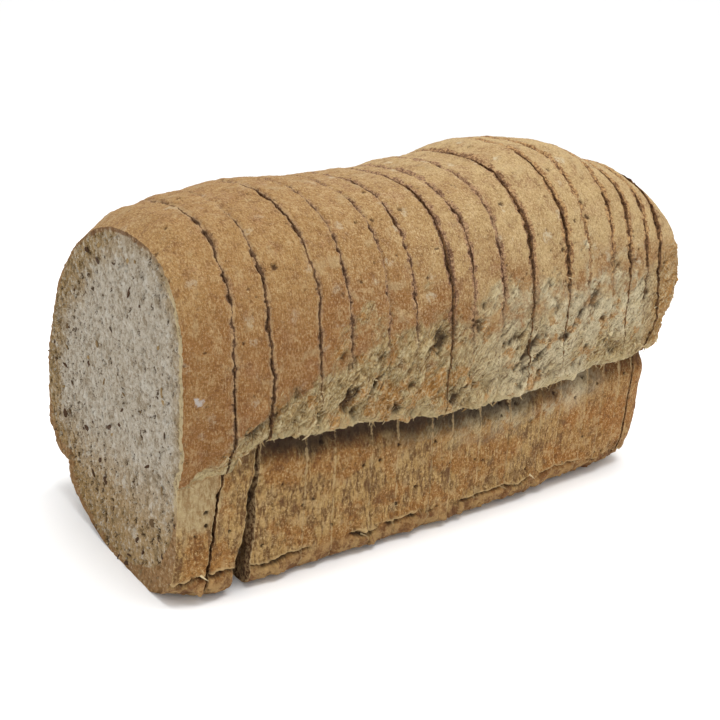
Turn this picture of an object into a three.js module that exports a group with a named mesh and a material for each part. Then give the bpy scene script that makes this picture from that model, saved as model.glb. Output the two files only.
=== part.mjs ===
// A sliced tin loaf of seeded brown bread: seventeen slices that still stand together in the
// shape of the whole loaf. Its dome has risen over the rim of the tin, so it overhangs the
// narrower lower walls, a little on one side and down to near the floor on the other.
// Millimetres, +Z up. X runs along the loaf from the cut end to the heel, the side at -Y has
// the high overhang, and the loaf stands on Z = 0 with its origin under its middle.
import * as THREE from 'three';

// Driving dimensions
const sliceThickness = [15.5, 12, 17, 11, 15, 11, 15, 9, 13, 14, 16, 10, 14, 9, 9, 7, 17];
const kerf = 0.8;                   // gap that the knife leaves between two slices
const lean = 0.02;                  // all cuts lean back by this much for each mm of height
const leanPivot = 67;               // height at which a cut stands at its own station

// Sizes that change along the loaf, as [distance from the cut end, size]
const crownHeight = [[0, 114], [9, 119.5], [22, 122], [45, 124.2], [100, 124.7], [122, 127.5], [148, 132.5],
  [166, 132.5], [190, 124.5], [214, 110]];
const crownOffset = [[0, -12], [40, -4], [150, -2], [185, -12], [212, -16]];
const nearRim = [[0, 38], [16, 39], [19, 45], [29, 50], [50, 49], [100, 45], [150, 46], [175, 49], [212, 51]];
const farRim = [[0, 19], [30, 25], [70, 33], [140, 38], [212, 45]];
const nearBulgeHeight = [[0, 80], [25, 71], [40, 70], [212, 80]];
const farBulgeHeight = [[0, 34], [60, 50], [140, 60], [212, 72]];
const nearBulge = [[0, 56.8], [20, 59], [212, 59]];
const farBulge = [[0, 66], [60, 62], [160, 60], [212, 55]];
const farDomeFullness = [[0, 1.95], [60, 2.15], [212, 2.2]];
const nearRimFullness = [[0, 1.5], [22, 2.4], [190, 2.4], [212, 1.6]];
const nearFoot = [[0, 19], [22, 7], [100, 7], [130, 9], [165, 14], [212, 19]];
const farFoot = [[0, 43], [45, 18], [100, 14], [212, 12]];
const farFootRise = [[0, 15], [45, 14], [212, 12]];
const farFootPower = [[0, 0.7], [45, 1]];

const nearDomeFullness = 2.7;       // exponent of the superellipse: 2 is an ellipse, more is squarer
const farRimFullness = 2.4;         // the same for the overhang under the bulge

// The lower walls' distance from the middle plane
const nearWall = { top: [[0, 49.5], [20, 51]], foot: [[0, 47.5], [20, 48]] };
const farWall = { top: [[0, 47], [60, 50]], foot: [[0, 46], [60, 47]] };

// The first slices are pushed out at the bottom, each cut by its own amount
const kickFront = [2.5, 7.5, 3.5, 1];
const kickBack = [8, 10, 1];
const kickReachFront = [40, 60, 60, 60];
const kickReachBack = [60, 60, 60];
const kickPower = 1.45;
const kickFarShare = 0.6;             // part of a kick that is left at the far side
const kickEase = [-25, 45];           // where the kick eases to that part

// The heel is rounded, and its dome stands out past its lower wall
const heelRound = 10;
const heelRoundPower = 2.6;
const heelWallSetback = 6;
const heelSetbackTop = 84;
const heelSetbackStart = 4;         // the setback starts to fade this far under the rim
const heelInsetSpan = 60;           // an inset of this much would draw a ring in to a point
const heelRings = [0, 0.3, 0.55, 0.75, 0.9, 1];
const heelLift = 0.8;               // the bottom's last ring stands off the floor
const heelFace = { ring: 0.62, bulge: 2.5, tip: 12 };   // the end's inner ring, swelling and tip height

// Relief of the crust
const crustRelief = 0.55;           // gentle lumps everywhere
const lumpLength = 14;              // along the loaf
const lumpSteps = 4;                // round the outline
const cragRelief = 1.7;             // torn crust of the overhang
const cragLength = 4;
const cragSteps = 1.5;
const cragBand = 20;                // height of the torn band above the rim
const cragStart = 0.08;             // part of the band that stays smooth at the rim
const reliefFade = 12;              // the relief fades out below this height
const edgeCurl = 0.35;              // the crust draws in a little at each cut
const sliceSlip = 0.7;              // sideways step from slice to slice
const slipSeed = 7;
const lumpSeed = 40;
const flat = 1;                     // below this height a point belongs to the bottom

// Points of half an outline, from the middle of the bottom to the crown
const bottomSteps = 4;
const footSteps = 3;
const wallSteps = 6;
const rimSteps = 8;
const domeSteps = 15;
const heartHeight = 55;             // the middle of a cut face, where its rings close
const acrossSteps = [0, 0.25, 0.75, 1];                 // rings of a slice from cut to cut
const capRings = [0.76, 0.5, 0.25]; // rings of a cut face that isn't flat

const crustColor = 0xb68a5a;

const halfSteps = bottomSteps + footSteps + wallSteps + rimSteps + domeSteps;
const outlineSteps = 2 * halfSteps;
const loafLength = sliceThickness.reduce((sum, t) => sum + t, 0);

// Value of a size at a distance along the loaf, eased between its stations
function along(stations, x) {
  if (x <= stations[0][0]) return stations[0][1];
  for (let i = 1; i < stations.length; i++) {
    const [x0, v0] = stations[i - 1];
    const [x1, v1] = stations[i];
    if (x <= x1) return v0 + (v1 - v0) * THREE.MathUtils.smoothstep(x, x0, x1);
  }
  return stations[stations.length - 1][1];
}

// Repeatable random number from 0 to 1 for a cell of a lattice
function hash(i, j) {
  let h = Math.imul(i, 374761393) + Math.imul(j, 668265263);
  h = Math.imul(h ^ (h >>> 13), 1274126177);
  return ((h ^ (h >>> 16)) >>> 0) / 4294967296;
}

// Smooth noise from -1 to 1 on a plane
function noise(u, v) {
  const i = Math.floor(u);
  const j = Math.floor(v);
  const a = THREE.MathUtils.smoothstep(u - i, 0, 1);
  const b = THREE.MathUtils.smoothstep(v - j, 0, 1);
  const low = hash(i, j) * (1 - a) + hash(i + 1, j) * a;
  const high = hash(i, j + 1) * (1 - a) + hash(i + 1, j + 1) * a;
  return 2 * (low * (1 - b) + high * b) - 1;
}

function power(value, exponent) {
  return Math.sign(value) * Math.pow(Math.abs(value), exponent);
}

// Point of half an outline at step k, as [distance out from the middle plane, height]
function halfPoint(k, side) {
  const { foot, footRise, footPower, wallFoot, wallTop, rim, rimFullness } = side;
  const { bulge, bulgeHeight, fullness, crownOut, crown } = side;
  if (k < bottomSteps) return [(wallFoot - foot) * k / bottomSteps, 0];
  k -= bottomSteps;
  if (k < footSteps) {
    const a = (k / footSteps) * Math.PI / 2;
    return [wallFoot - foot + foot * Math.sin(a), footRise * power(1 - Math.cos(a), footPower)];
  }
  k -= footSteps;
  if (k < wallSteps) {
    const f = k / wallSteps;
    return [wallFoot + (wallTop - wallFoot) * f, footRise + (rim - footRise) * f];
  }
  k -= wallSteps;
  if (k < rimSteps) {
    const a = (k / rimSteps) * Math.PI / 2;
    const out = power(Math.sin(a), 2 / rimFullness);
    const down = power(Math.cos(a), 2 / rimFullness);
    return [wallTop + (bulge - wallTop) * out, bulgeHeight - (bulgeHeight - rim) * down];
  }
  k -= rimSteps;
  const a = (k / domeSteps) * Math.PI / 2;
  const out = power(Math.cos(a), 2 / fullness);
  const up = power(Math.sin(a), 2 / fullness);
  return [crownOut + (bulge - crownOut) * out, bulgeHeight + (crown - bulgeHeight) * up];
}

// The whole outline at a distance along the loaf, as a closed ring of [y, z]
function outline(x, slip) {
  const crown = along(crownHeight, x);
  const offset = along(crownOffset, x);
  const near = {
    foot: along(nearFoot, x), footRise: along(nearFoot, x), footPower: 1,
    wallFoot: along(nearWall.foot, x), wallTop: along(nearWall.top, x), rim: along(nearRim, x),
    rimFullness: along(nearRimFullness, x), bulge: along(nearBulge, x),
    bulgeHeight: along(nearBulgeHeight, x), fullness: nearDomeFullness, crownOut: -offset, crown,
  };
  const far = {
    foot: along(farFoot, x), footRise: along(farFootRise, x), footPower: along(farFootPower, x),
    wallFoot: along(farWall.foot, x), wallTop: along(farWall.top, x), rim: along(farRim, x),
    rimFullness: farRimFullness, bulge: along(farBulge, x),
    bulgeHeight: along(farBulgeHeight, x), fullness: along(farDomeFullness, x), crownOut: offset, crown,
  };
  const points = [];
  for (let k = 0; k < halfSteps; k++) {
    const [out, z] = halfPoint(k, near);
    points.push([-out, z]);
  }
  for (let k = halfSteps; k > 0; k--) {
    const [out, z] = halfPoint(k, far);
    points.push([out, z]);
  }
  return points.map(([y, z], k) => {
    const [reliefY, reliefZ] = relief(x, y, z, k, near.rim, far.rim);
    return [y + reliefY + slip, z + reliefZ];
  });
}

// How far the crust stands out of its smooth form at a point of the outline
function relief(x, y, z, k, nearRimHeight, farRimHeight) {
  if (z < flat) return [0, 0];
  const rim = y < 0 ? nearRimHeight : farRimHeight;
  const above = (z - rim) / cragBand;
  const crag = above > cragStart && above < 1 ? Math.sin(Math.PI * above) : 0;
  const lump = crustRelief * noise(x / lumpLength, k / lumpSteps + lumpSeed);
  const tear = cragRelief * crag * noise(x / cragLength, k / cragSteps);
  const amount = (lump + tear) * Math.min(1, z / reliefFade);
  const rise = z - heartHeight;
  const length = Math.hypot(y, rise);
  return [amount * y / length, amount * rise / length];
}

// Where a cut stands at a point: its station, the common lean and the kick of the first slices
function cutX(station, kick, reach, y, z) {
  const low = Math.max(0, 1 - z / reach);
  const share = 1 - (1 - kickFarShare) * THREE.MathUtils.smoothstep(y, ...kickEase);
  return station + lean * (z - leanPivot) - kick * share * Math.pow(low, kickPower);
}

// A ring whose points end in y and z, drawn in towards the middle of the face
function shrink(ring, factor) {
  return ring.map((point) => {
    const [y, z] = point.slice(-2);
    return [...point.slice(0, -2), y * factor, heartHeight + (z - heartHeight) * factor];
  });
}

// Sideways step of a slice
function slipOf(number) {
  return sliceSlip * (2 * hash(number, slipSeed) - 1);
}

// Triangles of a closed body from rings of points in order, closed by a point at each end
function closedBody(rings, firstPoint, lastPoint) {
  const positions = [...firstPoint];
  for (const ring of rings) for (const p of ring) positions.push(...p);
  positions.push(...lastPoint);
  const last = positions.length / 3 - 1;
  const index = [];
  for (let k = 0; k < outlineSteps; k++) {
    const next = (k + 1) % outlineSteps;
    index.push(0, 1 + k, 1 + next);
    for (let r = 0; r + 1 < rings.length; r++) {
      const a = 1 + r * outlineSteps;
      const b = a + outlineSteps;
      index.push(a + k, b + k, a + next, a + next, b + k, b + next);
    }
    const end = 1 + (rings.length - 1) * outlineSteps;
    index.push(last, end + next, end + k);
  }
  const geometry = new THREE.BufferGeometry();
  geometry.setAttribute('position', new THREE.Float32BufferAttribute(positions, 3));
  geometry.setIndex(index);
  return geometry;
}

// One slice between two cuts
function sliceGeometry(number, start, thickness) {
  const slip = slipOf(number);
  const front = start + (number > 0 ? kerf / 2 : 0);
  const back = start + thickness - kerf / 2;
  const kickA = kickFront[number] ?? 0;
  const kickB = kickBack[number] ?? 0;
  const reachA = kickReachFront[number] ?? leanPivot;
  const reachB = kickReachBack[number] ?? leanPivot;
  const frontX = (y, z) => cutX(front, kickA, reachA, y, z);
  const backX = (y, z) => cutX(back, kickB, reachB, y, z);
  const place = (ring, u) => ring.map(([y, z]) => [(1 - u) * frontX(y, z) + u * backX(y, z), y, z]);
  const rings = [];
  const first = outline(front, slip);
  const last = outline(back, slip);
  if (kickA) for (const f of [...capRings].reverse()) rings.push(place(shrink(first, f), 0));
  for (const u of acrossSteps) {
    const ring = outline(front + u * (back - front), slip);
    const curl = u === 0 || u === 1 ? 1 - edgeCurl / heartHeight : 1;
    rings.push(place(ring.map(([y, z]) => (z < flat ? [y, z] : [y * curl, z * curl])), u));
  }
  if (kickB) for (const f of capRings) rings.push(place(shrink(last, f), 1));
  const [firstPoint] = place([[slip, heartHeight]], 0);
  const [lastPoint] = place([[slip, heartHeight]], 1);
  return closedBody(rings, firstPoint, lastPoint);
}

// The heel: one flat cut, then rings that draw in to a rounded end
function heelGeometry(number, start, thickness) {
  const slip = slipOf(number);
  const front = start + kerf / 2;
  const length = thickness - kerf / 2;
  const fadeStart = along(nearRim, loafLength) - heelSetbackStart;
  const rings = heelRings.map((u) => {
    const inset = heelRound * (1 - Math.sqrt(1 - Math.pow(u, heelRoundPower)));
    const factor = 1 - inset / heelInsetSpan;
    return outline(front + u * length, slip).map(([y, z]) => {
      const faded = THREE.MathUtils.smoothstep(z, fadeStart, heelSetbackTop);
      const setback = heelWallSetback * (1 - faded) * u;
      const x = front + u * length - setback + lean * (z - leanPivot);
      if (z < flat) return [x, y * factor, u === 1 ? heelLift : 0];
      return [x, y * factor, Math.max(heelLift / 2, heartHeight + (z - heartHeight) * factor)];
    });
  });
  const { ring, bulge, tip } = heelFace;
  rings.push(shrink(rings[rings.length - 1], ring).map(([x, y, z]) => [x + bulge * ring, y, z]));
  const firstPoint = [front + lean * (heartHeight - leanPivot), slip, heartHeight];
  return closedBody(rings, firstPoint, [front + length + bulge * ring, slip, heartHeight + tip]);
}

// A slice's mesh with faces pointing out
function sliceMesh(number, geometry) {
  const mesh = new THREE.Mesh(geometry, new THREE.MeshStandardMaterial({
    color: crustColor, roughness: 0.85, metalness: 0,
  }));
  mesh.name = `slice_${String(number + 1).padStart(2, '0')}`;
  return mesh;
}

const loaf = new THREE.Group();
let start = 0;
for (let i = 0; i < sliceThickness.length; i++) {
  const heel = i === sliceThickness.length - 1;
  const make = heel ? heelGeometry : sliceGeometry;
  loaf.add(sliceMesh(i, make(i, start, sliceThickness[i])));
  start += sliceThickness[i];
}

// The loaf's box is centred over the origin
const box = new THREE.Box3().setFromObject(loaf);
const middle = box.getCenter(new THREE.Vector3());
for (const mesh of loaf.children) mesh.geometry.translate(-middle.x, -middle.y, 0);

export default loaf;
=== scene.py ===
"""A sliced tin loaf of seeded brown bread on a pale floor, built around the frame's seventeen slices.

Lengths are in millimetres until a mesh is made, which is in metres. X runs along the loaf from
the cut end to the heel, and the side at -Y has the high overhang.
"""
import math

import bpy
import numpy as np
from mathutils import Matrix, Vector
from mathutils.geometry import delaunay_2d_cdt


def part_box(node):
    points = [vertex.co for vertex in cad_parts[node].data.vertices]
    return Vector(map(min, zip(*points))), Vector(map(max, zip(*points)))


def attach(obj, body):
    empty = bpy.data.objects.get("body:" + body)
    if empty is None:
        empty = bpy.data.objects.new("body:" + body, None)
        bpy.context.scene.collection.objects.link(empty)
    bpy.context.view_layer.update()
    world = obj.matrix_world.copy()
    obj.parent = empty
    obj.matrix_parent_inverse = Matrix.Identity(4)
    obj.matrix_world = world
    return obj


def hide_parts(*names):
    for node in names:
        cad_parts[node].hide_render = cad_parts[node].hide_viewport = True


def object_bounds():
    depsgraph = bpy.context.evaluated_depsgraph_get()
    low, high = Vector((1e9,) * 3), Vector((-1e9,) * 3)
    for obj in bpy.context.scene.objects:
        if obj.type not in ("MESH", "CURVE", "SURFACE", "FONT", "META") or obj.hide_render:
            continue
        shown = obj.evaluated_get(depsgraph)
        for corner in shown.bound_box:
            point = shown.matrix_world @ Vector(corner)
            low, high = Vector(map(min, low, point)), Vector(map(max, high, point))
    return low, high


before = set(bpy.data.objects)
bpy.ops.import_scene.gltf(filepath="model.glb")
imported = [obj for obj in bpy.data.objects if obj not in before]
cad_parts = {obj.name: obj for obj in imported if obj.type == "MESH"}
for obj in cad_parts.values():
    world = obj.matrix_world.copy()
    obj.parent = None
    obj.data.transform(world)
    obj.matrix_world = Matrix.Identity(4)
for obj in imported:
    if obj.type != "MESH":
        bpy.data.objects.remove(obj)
frame_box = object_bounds()

MM = 0.001

# Driving dimensions of the loaf, the same as the solids' but for NEAR_RIM, whose first stations are
# up to 4.5 mm higher, where the real ledge stands
SLICE_THICKNESS = [15.5, 12, 17, 11, 15, 11, 15, 9, 13, 14, 16, 10, 14, 9, 9, 7, 17]
LEAN = 0.02
LEAN_PIVOT = 67
CROWN_HEIGHT = [(0, 114), (9, 119.5), (22, 122), (45, 124.2), (100, 124.7), (122, 127.5),
                (148, 132.5), (166, 132.5), (190, 124.5), (214, 110)]
CROWN_OFFSET = [(0, -12), (40, -4), (150, -2), (185, -12), (212, -16)]
NEAR_RIM = [(0, 42), (16, 43.5), (19, 48), (29, 51), (50, 50), (100, 45), (150, 46), (175, 49), (212, 51)]
FAR_RIM = [(0, 19), (30, 25), (70, 33), (140, 38), (212, 45)]
NEAR_BULGE_HEIGHT = [(0, 80), (25, 71), (40, 70), (212, 80)]
FAR_BULGE_HEIGHT = [(0, 34), (60, 50), (140, 60), (212, 72)]
NEAR_BULGE = [(0, 56.8), (20, 59), (212, 59)]
FAR_BULGE = [(0, 66), (60, 62), (160, 60), (212, 55)]
FAR_DOME_FULLNESS = [(0, 1.95), (60, 2.15), (212, 2.2)]
NEAR_RIM_FULLNESS = [(0, 1.5), (22, 2.4), (190, 2.4), (212, 1.6)]
NEAR_FOOT = [(0, 19), (22, 7), (100, 7), (130, 9), (165, 14), (212, 19)]
FAR_FOOT = [(0, 43), (45, 18), (100, 14), (212, 12)]
FAR_FOOT_RISE = [(0, 15), (45, 14), (212, 12)]
FAR_FOOT_POWER = [(0, 0.7), (45, 1)]
NEAR_DOME_FULLNESS = 2.7
FAR_RIM_FULLNESS = 2.4
NEAR_WALL_TOP = [(0, 49.5), (20, 51)]
NEAR_WALL_FOOT = [(0, 47.5), (20, 48)]
FAR_WALL_TOP = [(0, 47), (60, 50)]
FAR_WALL_FOOT = [(0, 46), (60, 47)]
KICK_FRONT = [2.5, 7.5, 3.5, 1]
KICK_BACK = [8, 10, 1]
KICK_REACH_FRONT = [40, 60, 60, 60]
KICK_REACH_BACK = [60, 60, 60]
KICK_POWER = 1.45
KICK_FAR_SHARE = 0.6
HEEL_ROUND = 10
HEEL_WALL_SETBACK = 6
HEEL_SETBACK_TOP = 84
HEEL_INSET_SPAN = 60
HEEL_BULGE = 2.5
CRUST_RELIEF = 0.55
CRAG_RELIEF = 1.7
CRAG_BAND = 20
EDGE_CURL = 0.35
SLICE_SLIP = 0.7
HEART_HEIGHT = 55
HALF_KERF = 0.4

# Steps of half an outline, which the relief of the solids is counted in
BOTTOM_STEPS, FOOT_STEPS, WALL_STEPS, RIM_STEPS, DOME_STEPS = 4, 3, 6, 8, 15
HALF_STEPS = BOTTOM_STEPS + FOOT_STEPS + WALL_STEPS + RIM_STEPS + DOME_STEPS

# Gaps between the slices: shut at the lower walls but for the first two, open and uneven over the dome
WALL_GAP = [0, 0.8, 0.7]
LAST_WALL_GAP = 0.7
WALL_WANDER = [0, 1.3, 1.3]
SHUT_GAP = 0.05
OPEN_GAP = [(0, 0.45), (75, 0.5), (105, 0.85)]
CUT_WANDER = 0.65
SLICE_LIFT = 0.9

# The studio's light on the loaf's sides, by which display colours are divided to show as written
LIGHT_LEVEL = 1.34

# Height of the torn crust above the rim on the near side
TORN_HEIGHT = [(0, 1), (9, 6), (16, 11), (28, 13), (40, 17), (50, 27), (64, 33), (100, 35), (128, 39),
               (172, 40), (214, 40)]
FAR_TORN_HEIGHT = 12

# A white spot on the first slice's side, in centimetres on the loaf's form
WHITE_SPOT = (0.44, -5.7, 6.97)

# Fineness of the visible meshes
COARSE = 1
NEAR_SPACING = 0.48 * COARSE
FAR_SPACING = 1.1 * COARSE
BOTTOM_SPACING = 4.0
ROW_SPACING = 0.5 * COARSE
FACE_SPACING = 0.62 * COARSE
HIDDEN_FACE_SPACING = 5.0
EDGE_ROW = 0.22
HEEL_END_ROWS = 80

# Slices whose front face shows, counted from 0, and the seeds per square metre of the cut end's crumb
SHOWN_FACES = (0, 2)
CUT_END_SEEDS = 5500.0

LOAF_LENGTH = sum(SLICE_THICKNESS)
SLICES = len(SLICE_THICKNESS)


# Form of the loaf

def ease(value, low, high):
    t = np.clip((value - low) / (high - low), 0, 1)
    return t * t * (3 - 2 * t)


def along(stations, x):
    """Value of a size at a distance along the loaf, eased between its stations."""
    value = stations[0][1]
    for (x0, v0), (x1, v1) in zip(stations[:-1], stations[1:]):
        if x > x0:
            value = v0 + (v1 - v0) * float(ease(x, x0, x1))
    return value


def lattice(i, j):
    """Repeatable random number from 0 to 1 for each cell of a lattice."""
    mask = 0xFFFFFFFF
    i = np.asarray(i, dtype=np.int64)
    j = np.asarray(j, dtype=np.int64)
    h = (i * 374761393 + j * 668265263) & mask
    h = ((h ^ (h >> 13)) * 1274126177) & mask
    return (h ^ (h >> 16)) / 4294967296


def plane_noise(u, v):
    """Smooth noise from -1 to 1 on a plane."""
    i = np.floor(u)
    j = np.floor(v)
    a = ease(u - i, 0, 1)
    b = ease(v - j, 0, 1)
    low = lattice(i, j) * (1 - a) + lattice(i + 1, j) * a
    high = lattice(i, j + 1) * (1 - a) + lattice(i + 1, j + 1) * a
    return 2 * (low * (1 - b) + high * b) - 1


def half_outline(k, side):
    """Points of half an outline at steps k, as distances out from the middle plane and heights."""
    out = np.zeros_like(k)
    up = np.zeros_like(k)
    start = 0
    f = (k - start) / BOTTOM_STEPS
    part = f < 1
    out[part] = ((side["wall_foot"] - side["foot"]) * f)[part]
    start += BOTTOM_STEPS
    f = (k - start) / FOOT_STEPS
    part = (f >= 0) & (f < 1)
    a = np.clip(f, 0, 1) * math.pi / 2
    out[part] = (side["wall_foot"] - side["foot"] + side["foot"] * np.sin(a))[part]
    up[part] = (side["foot_rise"] * (1 - np.cos(a)) ** side["foot_power"])[part]
    start += FOOT_STEPS
    f = (k - start) / WALL_STEPS
    part = (f >= 0) & (f < 1)
    out[part] = (side["wall_foot"] + (side["wall_top"] - side["wall_foot"]) * f)[part]
    up[part] = (side["foot_rise"] + (side["rim"] - side["foot_rise"]) * f)[part]
    start += WALL_STEPS
    f = (k - start) / RIM_STEPS
    part = (f >= 0) & (f < 1)
    a = np.clip(f, 0, 1) * math.pi / 2
    away = np.sin(a) ** (2 / side["rim_fullness"])
    down = np.abs(np.cos(a)) ** (2 / side["rim_fullness"])
    out[part] = (side["wall_top"] + (side["bulge"] - side["wall_top"]) * away)[part]
    up[part] = (side["bulge_height"] - (side["bulge_height"] - side["rim"]) * down)[part]
    start += RIM_STEPS
    f = (k - start) / DOME_STEPS
    part = f >= 0
    a = np.clip(f, 0, 1) * math.pi / 2
    away = np.abs(np.cos(a)) ** (2 / side["fullness"])
    rise = np.sin(a) ** (2 / side["fullness"])
    out[part] = (side["crown_out"] + (side["bulge"] - side["crown_out"]) * away)[part]
    up[part] = (side["bulge_height"] + (side["crown"] - side["bulge_height"]) * rise)[part]
    return out, up


def outline(x, k, slip):
    """Outline at a distance along the loaf, at steps k round it, as y, z and height above the rim."""
    crown = along(CROWN_HEIGHT, x)
    offset = along(CROWN_OFFSET, x)
    near = dict(foot=along(NEAR_FOOT, x), foot_rise=along(NEAR_FOOT, x), foot_power=1,
                wall_foot=along(NEAR_WALL_FOOT, x), wall_top=along(NEAR_WALL_TOP, x),
                rim=along(NEAR_RIM, x), rim_fullness=along(NEAR_RIM_FULLNESS, x),
                bulge=along(NEAR_BULGE, x), bulge_height=along(NEAR_BULGE_HEIGHT, x),
                fullness=NEAR_DOME_FULLNESS, crown_out=-offset, crown=crown)
    far = dict(foot=along(FAR_FOOT, x), foot_rise=along(FAR_FOOT_RISE, x),
               foot_power=along(FAR_FOOT_POWER, x), wall_foot=along(FAR_WALL_FOOT, x),
               wall_top=along(FAR_WALL_TOP, x), rim=along(FAR_RIM, x), rim_fullness=FAR_RIM_FULLNESS,
               bulge=along(FAR_BULGE, x), bulge_height=along(FAR_BULGE_HEIGHT, x),
               fullness=along(FAR_DOME_FULLNESS, x), crown_out=offset, crown=crown)
    is_near = k < HALF_STEPS
    near_out, near_up = half_outline(np.where(is_near, k, 0.0), near)
    far_out, far_up = half_outline(np.where(is_near, 0.0, 2 * HALF_STEPS - k), far)
    y = np.where(is_near, -near_out, far_out)
    z = np.where(is_near, near_up, far_up)
    rim = np.where(y < 0, near["rim"], far["rim"])
    above = (z - rim) / CRAG_BAND
    crag = np.where((above > 0.08) & (above < 1), np.sin(math.pi * np.clip(above, 0, 1)), 0)
    lump = CRUST_RELIEF * plane_noise(x / 14, k / 4 + 40)
    tear = CRAG_RELIEF * crag * plane_noise(x / 4, k / 1.5)
    length = np.maximum(np.hypot(y, z - HEART_HEIGHT), 1)
    amount = np.where(z < 1, 0, (lump + tear) * np.minimum(1, z / 12))
    return y + amount * y / length + slip, z + amount * (z - HEART_HEIGHT) / length, z - rim


def slice_slip(number):
    return SLICE_SLIP * (2 * float(lattice(number, 7)) - 1)


def lined_up(number, y, z):
    """The slices line up along the tin's wall, and stand unevenly high over the dome."""
    lift = SLICE_LIFT * (float(lattice(number, 11)) - 0.5)
    return y - 0.85 * slice_slip(number) * (1 - ease(z, 42, 74)), z + lift * ease(z, 80, 118)


def spacing_of(y, z):
    """Wanted distance between points: fine on the near side and the dome, coarse underneath."""
    away = ease(y, 5, 40)
    spacing = NEAR_SPACING + (FAR_SPACING - NEAR_SPACING) * away
    return np.where(z < 1.5, BOTTOM_SPACING, spacing)


def outline_steps():
    """Steps round the outline at which every row has its points."""
    k = np.linspace(0, 2 * HALF_STEPS, 4001)
    y, z, _ = outline(LOAF_LENGTH * 0.6, k, 0)
    run = np.hypot(np.diff(y), np.diff(z)) / spacing_of((y[1:] + y[:-1]) / 2, (z[1:] + z[:-1]) / 2)
    count = np.concatenate([[0], np.cumsum(run)])
    return np.interp(np.arange(int(count[-1])) * count[-1] / int(count[-1]), count, k)


STEPS = outline_steps()


def cut_x(cut, side, kick, reach, y, z):
    """Where one side of a cut stands: its station, lean, wander, half the gap and the slices' kick."""
    station = sum(SLICE_THICKNESS[:cut])
    out = np.clip(np.hypot(y, z - HEART_HEIGHT) / 45, 0, 1)
    row = cut * 31.7
    wander = plane_noise(y / 11 + row, z / 11) + 0.45 * plane_noise(y / 3.1 + row, z / 3.1 + 50)
    low_share = listed(WALL_WANDER, cut, 0.25)
    wander = wander * out * CUT_WANDER * (low_share + (1 - low_share) * ease(z, 40, 70))
    uneven = np.clip(0.45 + 1.1 * plane_noise(y / 8 + row, z / 8 + 90), 0.04, 1.2)
    shut = LAST_WALL_GAP if cut == SLICES - 1 else listed(WALL_GAP, cut, SHUT_GAP)
    gap = shut + (along(OPEN_GAP, station) * uneven - shut) * ease(z, 50, 105)
    low = np.maximum(0, 1 - z / reach)
    share = 1 - (1 - KICK_FAR_SHARE) * ease(y, -25, 45)
    if cut in (0, SLICES):
        gap = 0
        wander = wander * 0.5
    return station + side * gap / 2 + wander + LEAN * (z - LEAN_PIVOT) - kick * share * low ** KICK_POWER


def listed(values, number, default):
    return values[number] if number < len(values) else default


def slice_cuts(number):
    """The two cut surfaces of a slice, each a function of y and z."""
    kicks = (listed(KICK_FRONT, number, 0), listed(KICK_BACK, number, 0))
    reaches = (listed(KICK_REACH_FRONT, number, LEAN_PIVOT), listed(KICK_REACH_BACK, number, LEAN_PIVOT))
    front_x = lambda y, z: cut_x(number, 1, kicks[0], reaches[0], y, z)
    back_x = lambda y, z: cut_x(number + 1, -1, kicks[1], reaches[1], y, z)
    return front_x, back_x


def frame_shift():
    """The frame's loaf is centred on its own box, so the shift is read from the frame."""
    low, _ = frame_box
    cut_foot = -(KICK_FRONT[0] + LEAN * LEAN_PIVOT)
    steps = np.arange(2 * HALF_STEPS, dtype=float)
    kerf_edge = SLICE_THICKNESS[0] - HALF_KERF
    widest = max(outline(u * kerf_edge, steps, slice_slip(0))[0].max() for u in (0.25, 0.75))
    return low.x / MM - cut_foot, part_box("slice_01")[1].y / MM - widest


SHIFT_X, SHIFT_Y = frame_shift()


# Meshes of the slices

def row_positions(thickness, spacing):
    """Places of the rows across a slice from 0 to 1, closer together at the cuts."""
    inner = np.linspace(0, 1, max(5, round(thickness / spacing)) + 1)
    edge = np.array([EDGE_ROW]) / thickness
    return np.unique(np.concatenate([inner, edge, 1 - edge]))


def slice_grid(number):
    """Rows of points round a slice from cut to cut: x, y, z, height above the rim, distance to a cut."""
    slip = slice_slip(number)
    front_x, back_x = slice_cuts(number)
    start = sum(SLICE_THICKNESS[:number])
    thickness = SLICE_THICKNESS[number]
    rows = []
    for u in row_positions(thickness, ROW_SPACING):
        y, z, above = outline(start + u * thickness, STEPS, slip)
        y, z = lined_up(number, y, z)
        x = (1 - u) * front_x(y, z) + u * back_x(y, z)
        from_cut = min(u, 1 - u) * thickness
        curl = 1 - EDGE_CURL / HEART_HEIGHT * float(1 - ease(from_cut, 0, 1.5))
        y = np.where(z < 1, y, y * curl)
        z = np.where(z < 1, z, z * curl)
        rows.append((x, y, z, above, np.full_like(x, from_cut)))
    return rows


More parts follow.
